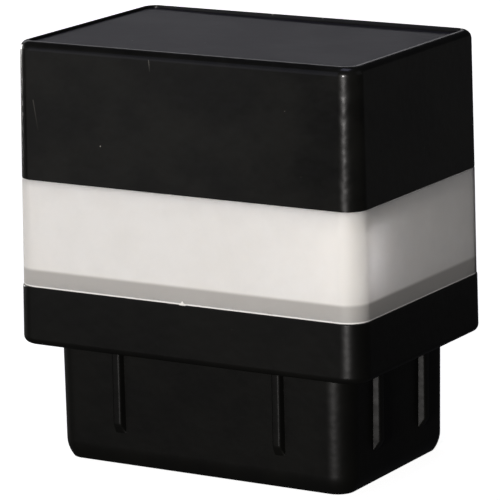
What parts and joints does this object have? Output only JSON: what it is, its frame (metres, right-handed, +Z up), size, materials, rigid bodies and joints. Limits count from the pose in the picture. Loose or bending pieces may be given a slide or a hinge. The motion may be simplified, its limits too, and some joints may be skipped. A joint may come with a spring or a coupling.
{
  "type": "deck post cap light",
  "caption": "Rectangular solar post cap light: black cap with a sunk solar panel, frosted light band, black collar and a ribbed plug that presses into a hollow metal post.",
  "frame": {"origin": "centre of the collar's underside, in the plane that sits on the post's rim", "axes": "+Z up out of the post, +X along the lamp's long side, -Y to the front in the picture"},
  "size_m": [0.0646, 0.0434, 0.0699],
  "materials": {
    "black_abs": "injection moulded, fine satin",
    "frosted_pp": "injection moulded, frosted, translucent",
    "white_abs": "injection moulded, satin",
    "clear_resin": "cast clear resin, weathered satin",
    "silicon": "polished wafer with printed grid",
    "panel_board": "laminate with dark solder mask",
    "foam_tape": "closed-cell foam",
    "seal_rubber": "silicone rubber",
    "green_board": "glass-fibre laminate with green solder mask",
    "tinned_steel": "bright tin plating",
    "copper_link": "tinned copper ribbon",
    "cell_steel": "nickel plated steel",
    "sleeve_film": "heat-shrunk film",
    "washer_card": "fibre card",
    "led_epoxy": "cast epoxy dome",
    "chip_epoxy": "moulded epoxy",
    "coil_lacquer": "dipped lacquer",
    "capacitor_ceramic": "dipped ceramic",
    "phenolic": "pressed phenolic",
    "knob_plastic": "injection moulded",
    "lead_pvc": "extruded PVC",
    "screw_steel": "passivated stainless steel"
  },
  "bodies": {
    "base": {"base_housing": "black_abs", "base_gasket": "seal_rubber", "floor_plate": "white_abs", "plate_screws": "screw_steel"},
    "head": {"cap_shell": "black_abs", "panel_tape": "foam_tape", "panel_backing": "panel_board", "solar_wafers": "silicon", "wafer_links": "copper_link", "panel_glazing": "clear_resin", "cap_gasket": "seal_rubber", "diffuser": "frosted_pp", "light_tray": "white_abs", "cell_can": "cell_steel", "cell_sleeve": "sleeve_film", "cell_washer": "washer_card", "positive_contact": "tinned_steel", "negative_contact": "tinned_steel", "negative_spring": "tinned_steel", "control_board": "green_board", "rear_led_board": "green_board", "leds": "led_epoxy", "charge_chip": "chip_epoxy", "boost_coil": "coil_lacquer", "smoothing_capacitor": "capacitor_ceramic", "switch_base": "phenolic", "switch_cover": "tinned_steel", "panel_leads": "lead_pvc", "battery_leads": "lead_pvc", "link_leads": "lead_pvc", "tray_screws": "screw_steel"},
    "switch_knob": {"switch_knob": "knob_plastic"},
    "battery_cover": {"battery_cover": "white_abs"}
  },
  "joints": [
    {"name": "head_lift", "type": "slide", "parent": "base", "child": "head", "axis": [0, 0, 1], "range_m": [0, 0.025]},
    {"name": "switch_slide", "type": "slide", "parent": "head", "child": "switch_knob", "axis": [1, 0, 0], "range_m": [0, 0.002]},
    {"name": "battery_cover_pull", "type": "slide", "parent": "head", "child": "battery_cover", "axis": [0, 0, -1], "range_m": [0, 0.008]}
  ]
}
